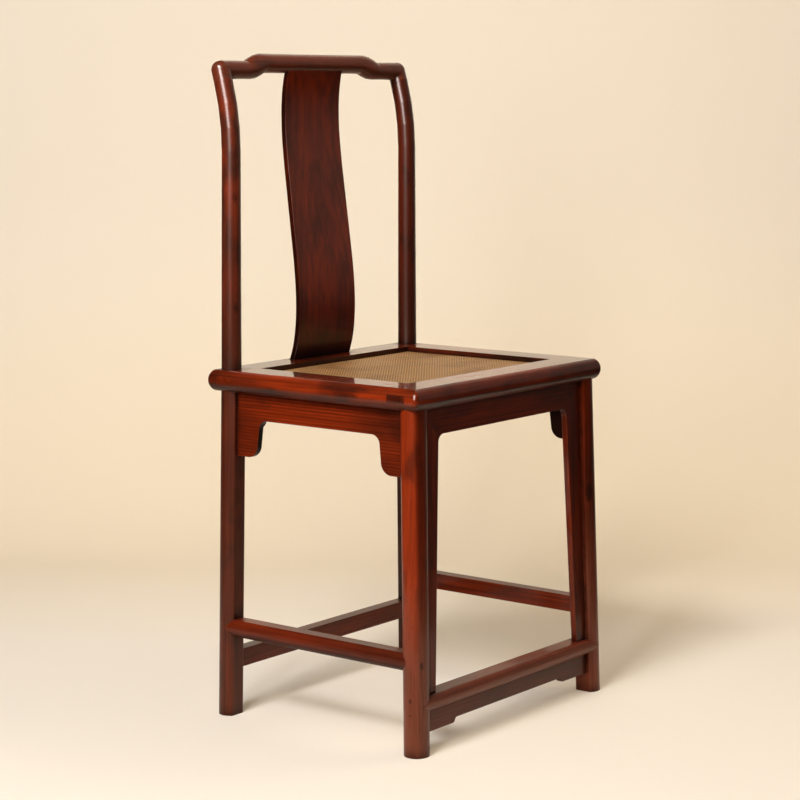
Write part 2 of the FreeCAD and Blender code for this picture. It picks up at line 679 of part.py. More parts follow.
def mat_pegs():
    """Pegs through the ledge, round the whole opening."""
    half_width = CANE_HALF_WIDTH - LEDGE_WIDTH / 2
    half_depth = CANE_HALF_DEPTH - LEDGE_WIDTH / 2
    places = []
    for step in range(PEGS_WIDE + 1):
        x = between(-half_width, half_width, step / PEGS_WIDE)
        places += [(x, -half_depth), (x, half_depth)]
    for step in range(1, PEGS_DEEP):
        y = between(-half_depth, half_depth, step / PEGS_DEEP)
        places += [(-half_width, y), (half_width, y)]
    half = PEG_SIDE / 2
    ledge = (SEAT_UNDERSIDE, LEDGE_TOP)
    return [block((x - half, x + half), (y - half, y + half), ledge) for x, y in places]


# Raw members, left side first; the legs are scribed to the rounded edge of the seat
front_rail, rear_rail, side_rail = seat_rails()
front_shaft = leg_shaft(front_y, 1, FRONT_CORNER).cut([front_rail, side_rail])
rear_shaft = leg_shaft(rear_y, -1, REAR_CORNER).cut([rear_rail, side_rail])
post = back_post()
crest = crest_rail()
splat = biggest_solid(back_splat().cut(crest)).fuse(splat_tongue())
braces = [seat_brace(), mirrored(seat_brace())]
pegs = mat_pegs()

# Boards between the legs; the post trims what would run into it inside the seat frame
left_apron = side_apron().cut(post)
back_apron = rear_apron().cut([post, mirrored(post)])
front_apron, left_strip = front_boards()
step_rail = footrest()
toe_board = footrest_apron()
left_strip = left_strip.cut(step_rail)
toe_board = toe_board.cut(step_rail)

# Stretchers and footrest, scribed to the round of the legs, with tenons
side_bar, side_tenons = side_stretcher()
side_bar = biggest_solid(side_bar.cut([front_shaft, rear_shaft])).fuse(side_tenons)
rear_bar, rear_tenon = rear_stretcher()
rear_tenons = [rear_tenon, mirrored(rear_tenon)]
rear_bar = biggest_solid(rear_bar.cut([rear_shaft, mirrored(rear_shaft)])).fuse(rear_tenons)
step_tenons = [footrest_tenon(), mirrored(footrest_tenon())]
step_rail = biggest_solid(step_rail.cut([front_shaft, mirrored(front_shaft)])).fuse(step_tenons)

# Legs with their housings, mortises and tenons
front_leg = front_shaft.cut([front_apron, left_strip, left_apron, toe_board, side_bar, step_rail])
front_leg = front_leg.fuse(front_leg_tenons())
rear_leg = rear_shaft.cut([left_apron, back_apron, side_bar, rear_bar])
rear_leg = rear_leg.fuse([post, post_tenon()])

# Seat frame: tenons first, then what stands in it
for facing in (-1, 1):
    tenon = rail_tenon(facing).common(side_rail)
    both = [tenon, mirrored(tenon)]
    if facing < 0:
        front_rail = front_rail.fuse(both)
    else:
        rear_rail = rear_rail.fuse(both)
side_rail = side_rail.cut([rail_tenon(-1), rail_tenon(1)])
let_in = [post, mirrored(post), splat, front_apron, back_apron, left_apron, mirrored(left_apron)]
let_in += front_leg_tenons() + [mirrored(tenon) for tenon in front_leg_tenons()] + braces + pegs
front_rail = front_rail.cut(let_in).removeSplitter()
rear_rail = rear_rail.cut(let_in).removeSplitter()
side_rail = side_rail.cut(let_in).removeSplitter()

# Crest rail, hollowed for the splat's tongue and the post tenons
crest = crest.cut([splat_tongue(), post_tenon(), mirrored(post_tenon())])

pieces = {
    "crest_rail": crest,
    "back_splat": splat,
    "seat_rail_front": front_rail,
    "seat_rail_rear": rear_rail,
    "rear_apron": back_apron,
    "front_apron": front_apron,
    "footrest": step_rail,
    "footrest_apron": toe_board,
    "rear_stretcher": rear_bar,
    "cane_mat": cane_layer(MAT_TOP - MAT_THICK, MAT_THICK),
    "palm_webbing": cane_layer(LEDGE_TOP, WEBBING_THICK),
    "mat_pegs": Part.makeCompound(pegs),
}
paired = {
    "rear_leg": rear_leg,
    "front_leg": front_leg,
    "seat_rail": side_rail,
    "side_apron": left_apron,
    "front_strip": left_strip,
    "side_stretcher": side_bar,
    "seat_brace": braces[0],
}
for name, left in paired.items():
    pieces[name + "_left"] = left
    pieces[name + "_right"] = mirrored(left)

overall = Part.makeCompound(list(pieces.values())).optimalBoundingBox(False, False)
to_middle = Vector(0, -overall.Center.y, 0)
print("overall", round(overall.XLength, 1), round(overall.YLength, 1), round(overall.ZLength, 1), "mm")

os.makedirs("parts", exist_ok=True)
for name, shape in pieces.items():
    shape.translate(to_middle)
    shape.exportStep("parts/" + name + ".step")
    print(name, len(shape.Solids), "solid(s)", round(shape.Volume), "mm3, valid", shape.isValid())
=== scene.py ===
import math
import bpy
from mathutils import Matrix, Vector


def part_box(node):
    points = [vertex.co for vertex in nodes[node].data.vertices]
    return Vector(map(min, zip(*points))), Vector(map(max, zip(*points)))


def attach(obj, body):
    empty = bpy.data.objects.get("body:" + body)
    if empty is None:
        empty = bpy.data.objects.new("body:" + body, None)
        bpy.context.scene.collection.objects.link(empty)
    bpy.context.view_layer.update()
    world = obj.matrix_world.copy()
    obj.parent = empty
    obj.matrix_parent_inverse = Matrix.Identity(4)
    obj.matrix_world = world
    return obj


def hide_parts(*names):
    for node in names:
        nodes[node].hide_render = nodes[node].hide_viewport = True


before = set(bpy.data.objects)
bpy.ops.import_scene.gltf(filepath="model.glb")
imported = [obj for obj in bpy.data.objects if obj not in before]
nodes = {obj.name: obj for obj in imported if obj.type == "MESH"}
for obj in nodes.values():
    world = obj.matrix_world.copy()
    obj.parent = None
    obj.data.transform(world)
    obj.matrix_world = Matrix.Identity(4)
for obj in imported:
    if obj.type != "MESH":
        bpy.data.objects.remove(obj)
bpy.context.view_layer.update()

# %% [markdown]
# # A yoke-back side chair
# The chair is a frame of polished red-brown hardwood with a woven cane seat. Its joinery arrives as
# one mesh for each piece of wood, already in place and in metres, with the floor at z = 0, the front
# towards -Y and the sitter's right at -X. This lesson gives those meshes a finish, weaves the seat,
# and puts the chair in a plain studio.

# %% [markdown]
# ## The camera
# A side chair is best seen from its front corner, a little above the seat. A long lens keeps the
# splayed legs from spreading further. The camera could be aimed with a constraint, but three angles
# say more plainly where it looks: how far it turns from +Y, how far it tips down, and its small roll.

# %% Camera
CAMERA_PLACE = Vector((-2.5003, -1.9399, 0.8912))
CAMERA_TURN = math.radians(51.969)
CAMERA_TIP = math.radians(7.989)
CAMERA_ROLL = math.radians(-0.097)
LENS_MM = 99.24
FARTHEST_SEEN = 50.0
AWAY = Vector((math.sin(CAMERA_TURN), math.cos(CAMERA_TURN), 0.0))
ACROSS = Vector((math.cos(CAMERA_TURN), -math.sin(CAMERA_TURN), 0.0))

ahead = AWAY * math.cos(CAMERA_TIP) - Vector((0.0, 0.0, math.sin(CAMERA_TIP)))
right = Matrix.Rotation(-CAMERA_ROLL, 3, ahead) @ ACROSS
up = right.cross(ahead)
axes = Matrix((right, up, -ahead)).transposed().to_4x4()
camera = bpy.data.objects.new("camera", bpy.data.cameras.new("camera"))
camera.data.lens = LENS_MM
camera.data.clip_end = FARTHEST_SEEN
camera.matrix_world = Matrix.Translation(CAMERA_PLACE) @ axes
bpy.context.scene.collection.objects.link(camera)
bpy.context.scene.camera = camera
print("camera stands", round(CAMERA_PLACE.length, 2), "m from the foot of the chair")

# %% [markdown]
# ## The studio
# Polished wood mostly shows what stands round it, so the studio matters as much as the finish. The
# floor is a cream sheet that curves up into a wall behind the chair, with no corner to catch the
# eye. It could be two planes, but then the seat would mirror the line between them. On the right the
# sheet is cut narrow in front and wide at the wall: the fronts of the rails mirror the dark room
# there, while the posts keep a pale rim.

# %% Floor and wall in one sheet
FLOOR_NEAR = -1.0
COVE_START = 0.95
COVE_RADIUS = 0.65
WALL_TOP = 2.4
SHEET_LEFT = -1.1
SHEET_RIGHT_FRONT = 0.8
SHEET_RIGHT_WALL = 1.7
WIDENS_FROM = 0.5
COVE_STEPS = 24
WALL_RUN = COVE_START + COVE_RADIUS


def sweep_profile():
    """Distance behind the chair and height of each line across the sheet."""
    points = [(FLOOR_NEAR, 0.0), (WIDENS_FROM, 0.0)]
    for step in range(COVE_STEPS + 1):
        angle = math.pi / 2 * step / COVE_STEPS
        run = COVE_START + COVE_RADIUS * math.sin(angle)
        points.append((run, COVE_RADIUS * (1 - math.cos(angle))))
    points.append((WALL_RUN, WALL_TOP))
    return points


def studio_sheet():
    """Sheet swept across the view, with its right edge further out at the wall."""
    corners = []
    for run, height in sweep_profile():
        middle = AWAY * run + Vector((0.0, 0.0, height))
        share = max(0.0, (run - WIDENS_FROM) / (WALL_RUN - WIDENS_FROM))
        right_edge = SHEET_RIGHT_FRONT + (SHEET_RIGHT_WALL - SHEET_RIGHT_FRONT) * share
        corners += [middle + ACROSS * SHEET_LEFT, middle + ACROSS * right_edge]
    faces = [(row, row + 1, row + 3, row + 2) for row in range(0, len(corners) - 2, 2)]
    mesh = bpy.data.meshes.new("studio_sheet")
    mesh.from_pydata(corners, [], faces)
    mesh.polygons.foreach_set("use_smooth", [True] * len(faces))
    sheet = bpy.data.objects.new("studio_sheet", mesh)
    bpy.context.scene.collection.objects.link(sheet)
    return sheet


studio = studio_sheet()
print("studio sheet has", len(studio.data.polygons), "faces")

# %% [markdown]
# The light comes from the chair's right. A broad soft source lights the side faces and leaves the
# front in shade. A tall card beside the camera is only mirrored, as the white streaks on the bent
# posts, with a dimmer card under it that lets the streaks fade and catches the arris of the splat,
# and a fill near them gives that side a little more light without being mirrored.

# %% Lights on the chair
AIM = Vector((0.0, 0.0, 0.45))
NEUTRAL_WHITE = (1.0, 0.97, 0.94)


def direction(turn, rise):
    """Way to a lamp; turn goes from the front of the chair towards its right side, in degrees."""
    turn = math.radians(turn)
    rise = math.radians(rise)
    return Vector((-math.sin(turn) * math.cos(rise), -math.cos(turn) * math.cos(rise), math.sin(rise)))


def soft_light(name, turn, rise, distance, width, height, power, colour):
    data = bpy.data.lights.new(name, "AREA")
    data.shape = "RECTANGLE"
    data.size = width
    data.size_y = height
    data.energy = power
    data.color = colour
    lamp = bpy.data.objects.new(name, data)
    lamp.location = AIM + direction(turn, rise) * distance
    lamp.rotation_euler = (-direction(turn, rise)).to_track_quat("-Z", "Y").to_euler()
    bpy.context.scene.collection.objects.link(lamp)
    return lamp


soft_light("broad_light", turn=86, rise=44, distance=5.0, width=1.0, height=1.0, power=146,
           colour=NEUTRAL_WHITE)
fill_light = soft_light("fill_light", turn=71, rise=22, distance=3.2, width=0.42, height=1.7, power=22,
                        colour=NEUTRAL_WHITE)
fill_light.visible_glossy = False
streak_card = soft_light("streak_card", turn=71, rise=32, distance=3.2, width=1.3, height=2.1, power=150,
                         colour=NEUTRAL_WHITE)
streak_card.visible_diffuse = False
low_card = soft_light("low_card", turn=71, rise=13, distance=3.2, width=1.0, height=0.5, power=5,
                      colour=NEUTRAL_WHITE)
low_card.visible_diffuse = False
print("four soft lights on the chair, two of them only mirrored")

# %% [markdown]
# Three more lamps light only the paper, as a photographer would flag them off the chair. They are
# warmer than the rest, so the shadows on the paper are warm too, and the chair throws none from the
# two near ones, so that the shadow of the seat stays soft and pale. Brighter lamps on everything
# would do for the paper, but they would bleach the wood.

# %% Lights on the paper
AMBER_WHITE = (1.0, 0.80, 0.52)
WARM_WHITE = (1.0, 0.90, 0.72)

paper_only = bpy.data.collections.new("paper_only")
paper_only.objects.link(studio)
paper_front = soft_light("paper_from_front", turn=55, rise=25, distance=5.0, width=1.5, height=1.5,
                         power=57, colour=AMBER_WHITE)
paper_right = soft_light("paper_from_right", turn=-50, rise=50, distance=2.0, width=0.8, height=0.8,
                         power=10.5, colour=AMBER_WHITE)
paper_left = soft_light("paper_from_left", turn=75, rise=50, distance=2.2, width=0.8, height=0.8,
                        power=18, colour=WARM_WHITE)
for lamp in (paper_front, paper_right, paper_left):
    lamp.light_linking.receiver_collection = paper_only
for lamp in (paper_right, paper_left):
    lamp.light_linking.blocker_collection = paper_only
print("three soft lights for the paper alone")

# %% [markdown]
# ## Writing materials
# A material is a small graph. Long graphs are easier to read when each kind of node has a one-line
# helper that takes numbers or other nodes' outputs alike, so the graphs below read like sums.

# %% Helpers for sums
def add(tree, kind, **settings):
    """New node with some of its settings."""
    made = tree.nodes.new(kind)
    for name, value in settings.items():
        setattr(made, name, value)
    return made


def feed(tree, socket, value):
    """Link an output to a socket, or set the socket's own value."""
    if isinstance(value, bpy.types.NodeSocket):
        tree.links.new(value, socket)
    else:
        socket.default_value = value


def calc(tree, operation, first, second=0.0):
    made = add(tree, "ShaderNodeMath", operation=operation)
    feed(tree, made.inputs[0], first)
    feed(tree, made.inputs[1], second)
    return made.outputs[0]


def vector_calc(tree, operation, first, second, output="Vector"):
    made = add(tree, "ShaderNodeVectorMath", operation=operation)
    feed(tree, made.inputs[0], first)
    feed(tree, made.inputs[1], second)
    return made.outputs[output]


def split(tree, vector):
    """X, Y and Z of a vector."""
    made = add(tree, "ShaderNodeSeparateXYZ")
    tree.links.new(vector, made.inputs[0])
    return made.outputs


print("helpers for sums ready")

# %% [markdown]
# Three more helpers do the painting: a smooth step between two values, a mix of two colours, and a
# cloudy noise. The noise takes a seed, so that two pieces of wood needn't look alike, and yet it is
# the same on every run.

# %% Helpers for painting
# A Mix node has sockets for each kind of value, and these are the ones for colours
MIX_FIRST = 6
MIX_SECOND = 7
MIX_RESULT = 2


def ease(tree, value, low, high, start=0.0, end=1.0):
    """Smooth step from start to end while value goes from low to high."""
    made = add(tree, "ShaderNodeMapRange", interpolation_type="SMOOTHSTEP")
    for socket, given in zip(made.inputs, (value, low, high, start, end)):
        feed(tree, socket, given)
    return made.outputs[0]


def mix(tree, share, first, second, way="MIX"):
    made = add(tree, "ShaderNodeMix", data_type="RGBA", blend_type=way)
    feed(tree, made.inputs["Factor"], share)
    feed(tree, made.inputs[MIX_FIRST], first)
    feed(tree, made.inputs[MIX_SECOND], second)
    return made.outputs[MIX_RESULT]


def noise(tree, place, seed, scale, detail, output="Fac"):
    made = add(tree, "ShaderNodeTexNoise", noise_dimensions="4D")
    feed(tree, made.inputs["Vector"], place)
    feed(tree, made.inputs["W"], seed)
    feed(tree, made.inputs["Scale"], scale)
    feed(tree, made.inputs["Detail"], detail)
    return made.outputs[output]


print("helpers for painting ready")

# %% [markdown]
# An effect that several finishes share is a node group: it is built once, and each material places
# it with its own values.

# %% Helpers for groups and materials
NUMBER = "NodeSocketFloat"
PLACE = "NodeSocketVector"


def group_of(name, inputs, outputs):
    """Empty node group with named sockets, and its two ends."""
    tree = bpy.data.node_groups.new(name, "ShaderNodeTree")
    for label, kind in inputs:
        tree.interface.new_socket(name=label, in_out="INPUT", socket_type=kind)
    for label, kind in outputs:
        tree.interface.new_socket(name=label, in_out="OUTPUT", socket_type=kind)
    return tree, tree.nodes.new("NodeGroupInput").outputs, tree.nodes.new("NodeGroupOutput").inputs


def place_group(tree, group, **values):
    """Group node in a material; underscores in the names stand for spaces."""
    made = add(tree, "ShaderNodeGroup", node_tree=group)
    for label, value in values.items():
        feed(tree, made.inputs[label.replace("_", " ")], value)
    return made.outputs


def new_material(name):
    """Material with its node tree and its shader."""
    material = bpy.data.materials.new(name)
    material.use_nodes = True
    return material, material.node_tree, material.node_tree.nodes["Principled BSDF"]


def linear(red, green, blue):
    """Colour for a shader from the three numbers that a screen shows."""
    parts = []
    for part in (red, green, blue):
        share = part / 255
        parts.append(share / 12.92 if share <= 0.04045 else ((share + 0.055) / 1.055) ** 2.4)
    return (*parts, 1.0)


print("helpers for groups and materials ready")

# %% [markdown]
# The room beyond the paper is dark, but the upper part of a pale wall, far to the front and left of
# the chair, still shows as a soft sheen where the back splat leans back. A glow with no edge stands
# for it, because a lamp's sharp rectangle would be mirrored there.

# %% The room
ROOM_DARK = 0.010
ROOM_GLOW = 0.26
GLOW_COLOUR = (1.0, 0.82, 0.68, 1.0)
GLOW_TURN = -66
GLOW_RISE = 12
GLOW_SPREAD = (0.3, 0.95)
GLOW_HEIGHT = (-0.24, 0.16)


def dim_room():
    world = bpy.data.worlds.new("dim_room")
    world.use_nodes = True
    tree = world.node_tree
    look = add(tree, "ShaderNodeTexCoord").outputs["Generated"]
    near_middle = vector_calc(tree, "DOT_PRODUCT", look, direction(GLOW_TURN, GLOW_RISE), "Value")
    towards = ease(tree, near_middle, *GLOW_SPREAD)
    raised = ease(tree, split(tree, look)["Z"], *GLOW_HEIGHT, 0.0, ROOM_GLOW)
    background = tree.nodes["Background"]
    background.inputs["Color"].default_value = GLOW_COLOUR
    strength = calc(tree, "ADD", calc(tree, "MULTIPLY", towards, raised), ROOM_DARK)
    tree.links.new(strength, background.inputs["Strength"])
    return world


bpy.context.scene.world = dim_room()
bpy.context.scene.view_settings.view_transform = "Standard"
print("dim room with one pale wall")

# %% [markdown]
# The sheet itself is matt paper: a warm cream with a faint unevenness, so that it isn't dead flat.
# The bend between floor and wall is painted darker and yellower, as painted shade in the cove, and
# the floor in front is painted whiter, as brightly lit paper looks. The back of the sheet is left
# clear, so that the chair can also be looked at from behind the wall.

# %% Cream paper
PAPER_PALE = linear(241, 233, 221)
PAPER_DEEP = linear(238, 229, 217)
PAPER_WIPED = linear(232, 226, 219)
PAPER_YELLOW = linear(228, 212, 182)
PAPER_CLOUD = {"seed": 0.0, "scale": 0.8, "detail": 2.0}
PAPER_ROUGHNESS = 0.9
WIPED_TO = (0.2, 1.2)
BEND_HEIGHTS = (0.7, 0.1)
BEND_YELLOWING = 0.45


def paper_material():
    material, tree, shader = new_material("cream_paper")
    place = add(tree, "ShaderNodeTexCoord").outputs["Object"]
    behind = ease(tree, vector_calc(tree, "DOT_PRODUCT", place, AWAY, "Value"), *WIPED_TO)
    low = ease(tree, split(tree, place)["Z"], *BEND_HEIGHTS, 0.0, BEND_YELLOWING)
    colour = mix(tree, noise(tree, place, **PAPER_CLOUD), PAPER_DEEP, PAPER_PALE)
    # Painted light: the floor in front is mixed whiter, as brightly lit paper looks, and the cove darker
    # and yellower, as painted shade.
    colour = mix(tree, behind, PAPER_WIPED, colour)
    colour = mix(tree, calc(tree, "MULTIPLY", behind, low), colour, PAPER_YELLOW)
    tree.links.new(colour, shader.inputs["Base Color"])
    from_behind = add(tree, "ShaderNodeNewGeometry").outputs["Backfacing"]
    tree.links.new(calc(tree, "SUBTRACT", 1.0, from_behind), shader.inputs["Alpha"])
    shader.inputs["Roughness"].default_value = PAPER_ROUGHNESS
    shader.inputs["Specular IOR Level"].default_value = 0.0
    return material


studio.data.materials.append(paper_material())
print("paper on the studio sheet")

# %% [markdown]
# ## The figure of the wood
# A plank's figure is its tree's growth rings, cut. So the rings are drawn in space, as cylinders
# round a pith line that lies beside each piece, and every face of the piece shows its own cut of
# them: straight lines on a quartered face, arches where the pith leans to the face. Painting lines
# on each face would be quicker, but they would not meet at the arrises. Fibres, dark streaks, pores
# and cloudy patches run along the same grain.

# %% Growth rings, fibres and streaks
# How much each noise is squeezed along the grain, which draws it out, then its scale and detail
DRIFT_NOISE = (0.1, 18.0, 2.0)
FIBRE_NOISE = (0.02, 330.0, 3.0)
STREAK_NOISE = (0.035, 55.0, 4.0)
PORE_NOISE = (0.05, 1300.0, 1.0)
CLOUD_NOISE = (0.3, 13.0, 3.0)
STAIN_NOISE = (0.4, 27.0, 4.0)
STREAK_RANGE = (0.5, 0.72)
PORE_RANGE = (0.62, 0.74)
# Shares of a ring's width where its dark late wood builds up, and where it ends
LATE_WOOD_BUILDS = (0.25, 0.9)
LATE_WOOD_ENDS = (0.93, 1.0)
MIDDLE_GREY = (0.5, 0.5, 0.5)


def wood_figure_group():
    tree, taken, given = group_of(
        "wood_figure",
        [("Place", PLACE), ("Pith", PLACE), ("Lean", NUMBER), ("Ring Width", NUMBER), ("Wander", NUMBER),
         ("Seed", NUMBER)],
        [("Rings", NUMBER), ("Fibre", NUMBER), ("Streak", NUMBER), ("Pores", NUMBER), ("Cloud", NUMBER),
         ("Stain", NUMBER)],
    )
    place = taken["Place"]

    def along(squeeze, scale, detail, output="Fac"):
        drawn_out = vector_calc(tree, "MULTIPLY", place, (1.0, 1.0, squeeze))
        return noise(tree, drawn_out, taken["Seed"], scale, detail, output)

    drift = vector_calc(tree, "SUBTRACT", along(*DRIFT_NOISE, "Color"), MIDDLE_GREY)
    reach = add(tree, "ShaderNodeCombineXYZ")
    for axis in ("X", "Y"):
        tree.links.new(taken["Wander"], reach.inputs[axis])
    drift = vector_calc(tree, "MULTIPLY", drift, reach.outputs[0])
    from_pith = vector_calc(tree, "SUBTRACT", vector_calc(tree, "ADD", place, drift), taken["Pith"])
    parts = split(tree, from_pith)
    leaned = calc(tree, "MULTIPLY", parts["Z"], taken["Lean"])
    sideways = calc(tree, "POWER", calc(tree, "SUBTRACT", parts["X"], leaned), 2.0)
    radius = calc(tree, "SQRT", calc(tree, "ADD", sideways, calc(tree, "POWER", parts["Y"], 2.0)))
    turn = calc(tree, "FRACT", calc(tree, "DIVIDE", radius, taken["Ring Width"]))
    builds = ease(tree, turn, *LATE_WOOD_BUILDS)
    ends = ease(tree, turn, *LATE_WOOD_ENDS, 1.0, 0.0)
    tree.links.new(calc(tree, "MULTIPLY", builds, ends), given["Rings"])
    tree.links.new(along(*FIBRE_NOISE), given["Fibre"])
    tree.links.new(ease(tree, along(*STREAK_NOISE), *STREAK_RANGE), given["Streak"])
    tree.links.new(ease(tree, along(*PORE_NOISE), *PORE_RANGE), given["Pores"])
    tree.links.new(along(*CLOUD_NOISE), given["Cloud"])
    tree.links.new(along(*STAIN_NOISE), given["Stain"])
    return tree


WOOD_FIGURE = wood_figure_group()
print("wood figure group has", len(WOOD_FIGURE.nodes), "nodes")

# %% [markdown]
# ## Wear, painted shade and polish
# The arrises are painted a little paler than the faces, partly as wear from long use and partly as
# a painted highlight along each edge. A bevelled normal differs from the true one only near an edge,
# so the difference is a mask of the edges, and no edge has to be marked by hand.

# %% Pale arrises: wear and painted highlight
# How far the bevelled normal agrees with the true one where wear starts, and where it is full
ARRIS_RANGE = (0.99, 0.92)
ARRIS_PATCHES = {"scale": 40.0, "detail": 3.0}
ARRIS_PATCH_RANGE = (0.35, 0.65)
BEVEL_SAMPLES = 4


def worn_arris_group():
    tree, taken, given = group_of("worn_arris", [("Reach", NUMBER), ("Seed", NUMBER)], [("Wear", NUMBER)])
    bevel = add(tree, "ShaderNodeBevel", samples=BEVEL_SAMPLES)
    tree.links.new(taken["Reach"], bevel.inputs["Radius"])
    geometry = add(tree, "ShaderNodeNewGeometry").outputs
    agree = vector_calc(tree, "DOT_PRODUCT", bevel.outputs[0], geometry["Normal"], "Value")
    edge = ease(tree, agree, *ARRIS_RANGE)
    patchy = noise(tree, geometry["Position"], taken["Seed"], **ARRIS_PATCHES)
    patchy = ease(tree, patchy, *ARRIS_PATCH_RANGE)
    tree.links.new(calc(tree, "MULTIPLY", edge, patchy), given["Wear"])
    return tree


WORN_ARRIS = worn_arris_group()
print("worn arris group ready")

# %% [markdown]
# Faces that look forward, faces that look inwards and undersides are darkened as painted shade, and
# the legs darken towards the floor. There the polish has also worn dull under a film of brown dust,
# while the seat shines from use, and undersides are less polished. The way a face looks and its
# height give the masks for that.

# %% Painted shade and polish
FORWARD_RANGE = (0.55, 0.9)
INWARD_RANGE = (-0.02, -0.10)
UNDERSIDE_RANGE = (-0.5, -0.1)
UNDERSIDE_POLISH = 0.3
POLISH_HEIGHTS = (0.1, 0.8)
POLISH_AT_FLOOR = 0.25
UPWARD_RANGE = (0.5, 0.9)
SEAT_POLISH = 0.92
SEAT_HEIGHTS = (0.1, 0.45)
FOOTREST_SHARE = 0.3


def patina_group():
    tree, taken, given = group_of(
        "patina",
        [("Facing", PLACE), ("Front", NUMBER), ("Inner", NUMBER), ("Foot", NUMBER), ("Foot Low", NUMBER),
         ("Foot High", NUMBER)],
        [("Shade", NUMBER), ("Low", NUMBER), ("Gloss", NUMBER)],
    )
    geometry = add(tree, "ShaderNodeNewGeometry").outputs
    normal = geometry["Normal"]
    height = split(tree, geometry["Position"])["Z"]
    forward = vector_calc(tree, "DOT_PRODUCT", normal, taken["Facing"], "Value")
    level_place = vector_calc(tree, "MULTIPLY", geometry["Position"], (1.0, 1.0, 0.0))
    outward = vector_calc(tree, "DOT_PRODUCT", normal, level_place, "Value")
    upward = vector_calc(tree, "DOT_PRODUCT", normal, (0.0, 0.0, 1.0), "Value")

    low = ease(tree, height, taken["Foot High"], taken["Foot Low"])
    tree.links.new(low, given["Low"])
    # Painted shade: undersides, faces that look forward and faces that look inwards are darkened here.
    shade = ease(tree, upward, *UNDERSIDE_RANGE, UNDERSIDE_POLISH, 1.0)
    worn = calc(tree, "MULTIPLY", shade, ease(tree, height, *POLISH_HEIGHTS, POLISH_AT_FLOOR, 1.0))
    for mask, strength in (
        (ease(tree, forward, *FORWARD_RANGE), taken["Front"]),
        (low, taken["Foot"]),
        (ease(tree, outward, *INWARD_RANGE), taken["Inner"]),
    ):
        kept = calc(tree, "SUBTRACT", 1.0, calc(tree, "MULTIPLY", mask, strength))
        shade = calc(tree, "MULTIPLY", shade, kept)
    tree.links.new(shade, given["Shade"])
    sat_on = ease(tree, upward, *UPWARD_RANGE, 0.0, SEAT_POLISH)
    sat_on = calc(tree, "MULTIPLY", sat_on, ease(tree, height, *SEAT_HEIGHTS, FOOTREST_SHARE, 1.0))
    tree.links.new(calc(tree, "MAXIMUM", worn, sat_on), given["Gloss"])
    return tree


PATINA = patina_group()
print("patina group has", len(PATINA.nodes), "nodes")

# %% [markdown]
# Dark marks come last: knots, which are spots drawn out along the grain, the darkening of joints and
# hollows, partly wax and dust and partly painted shade, and the ends of the tenons. The joints are
# found by how much of the sky a point can see close by. They could be painted one by one, but then
# each new joint would need it.

# %% Knots, grime with painted shade, and end grain
KNOT_SQUEEZE = (1.0, 1.0, 0.45)
KNOT_RAGGED = {"seed": 0.0, "scale": 300.0, "detail": 2.0}
KNOT_RAGGED_REACH = (0.004, 0.004, 0.004)
KNOT_RANGE = (1.0, 0.45)
GRIME_RANGE = (0.97, 0.45)
GRIME_PATCHES = {"scale": 60.0, "detail": 3.0}
GRIME_PATCH_RANGE = (0.3, 0.7)
GRIME_LEAST = 0.55
SKY_SAMPLES = 6


def knot_group():
    tree, taken, given = group_of(
        "knot", [("Place", PLACE), ("Centre", PLACE), ("Size", NUMBER)], [("Knot", NUMBER)])
    offset = vector_calc(tree, "SUBTRACT", taken["Place"], taken["Centre"])
    squeezed = vector_calc(tree, "MULTIPLY", offset, KNOT_SQUEEZE)
    ragged = noise(tree, offset, **KNOT_RAGGED, output="Color")
    ragged = vector_calc(tree, "SUBTRACT", ragged, MIDDLE_GREY)
    ragged = vector_calc(tree, "MULTIPLY", ragged, KNOT_RAGGED_REACH)
    squeezed = vector_calc(tree, "ADD", squeezed, ragged)
    reach = vector_calc(tree, "LENGTH", squeezed, (0.0, 0.0, 0.0), "Value")
    tree.links.new(ease(tree, calc(tree, "DIVIDE", reach, taken["Size"]), *KNOT_RANGE), given["Knot"])
    return tree


def joint_grime_group():
    tree, taken, given = group_of("joint_grime", [("Reach", NUMBER), ("Seed", NUMBER)], [("Grime", NUMBER)])
    sky = add(tree, "ShaderNodeAmbientOcclusion", samples=SKY_SAMPLES)
    tree.links.new(taken["Reach"], sky.inputs["Distance"])
    # Where little sky is seen close by, the mask darkens, as grime and as painted shade.
    corner = ease(tree, sky.outputs["AO"], *GRIME_RANGE)
    place = add(tree, "ShaderNodeNewGeometry").outputs["Position"]
    patchy = noise(tree, place, taken["Seed"], **GRIME_PATCHES)
    patchy = ease(tree, patchy, *GRIME_PATCH_RANGE, GRIME_LEAST, 1.0)
    tree.links.new(calc(tree, "MULTIPLY", corner, patchy), given["Grime"])
    return tree


def end_grain_group():
    """Ends of the front and rear rails' tenons, where they come through the side rails."""
    tree, taken, given = group_of("end_grain", [("Side", NUMBER), ("Inset", NUMBER)], [("End", NUMBER)])
    place = split(tree, add(tree, "ShaderNodeNewGeometry").outputs["Position"])
    outside = calc(tree, "GREATER_THAN", calc(tree, "ABSOLUTE", place["X"]), taken["Side"])
    inside = calc(tree, "LESS_THAN", calc(tree, "ABSOLUTE", place["Y"]), taken["Inset"])
    tree.links.new(calc(tree, "MULTIPLY", outside, inside), given["End"])
    return tree


KNOT = knot_group()
JOINT_GRIME = joint_grime_group()
END_GRAIN = end_grain_group()
print("knot, grime and end grain groups ready")

# %% [markdown]
# ## The hardwood
# All the wood is one kind, but no two pieces come from the same place in the tree, so each has its
# own pith, lean and tone. Grain direction follows the length of each piece, which is how a joiner
# would cut it. Each piece starts from one plain look and names only what it has of its own, which is
# shorter than a full list for every piece.

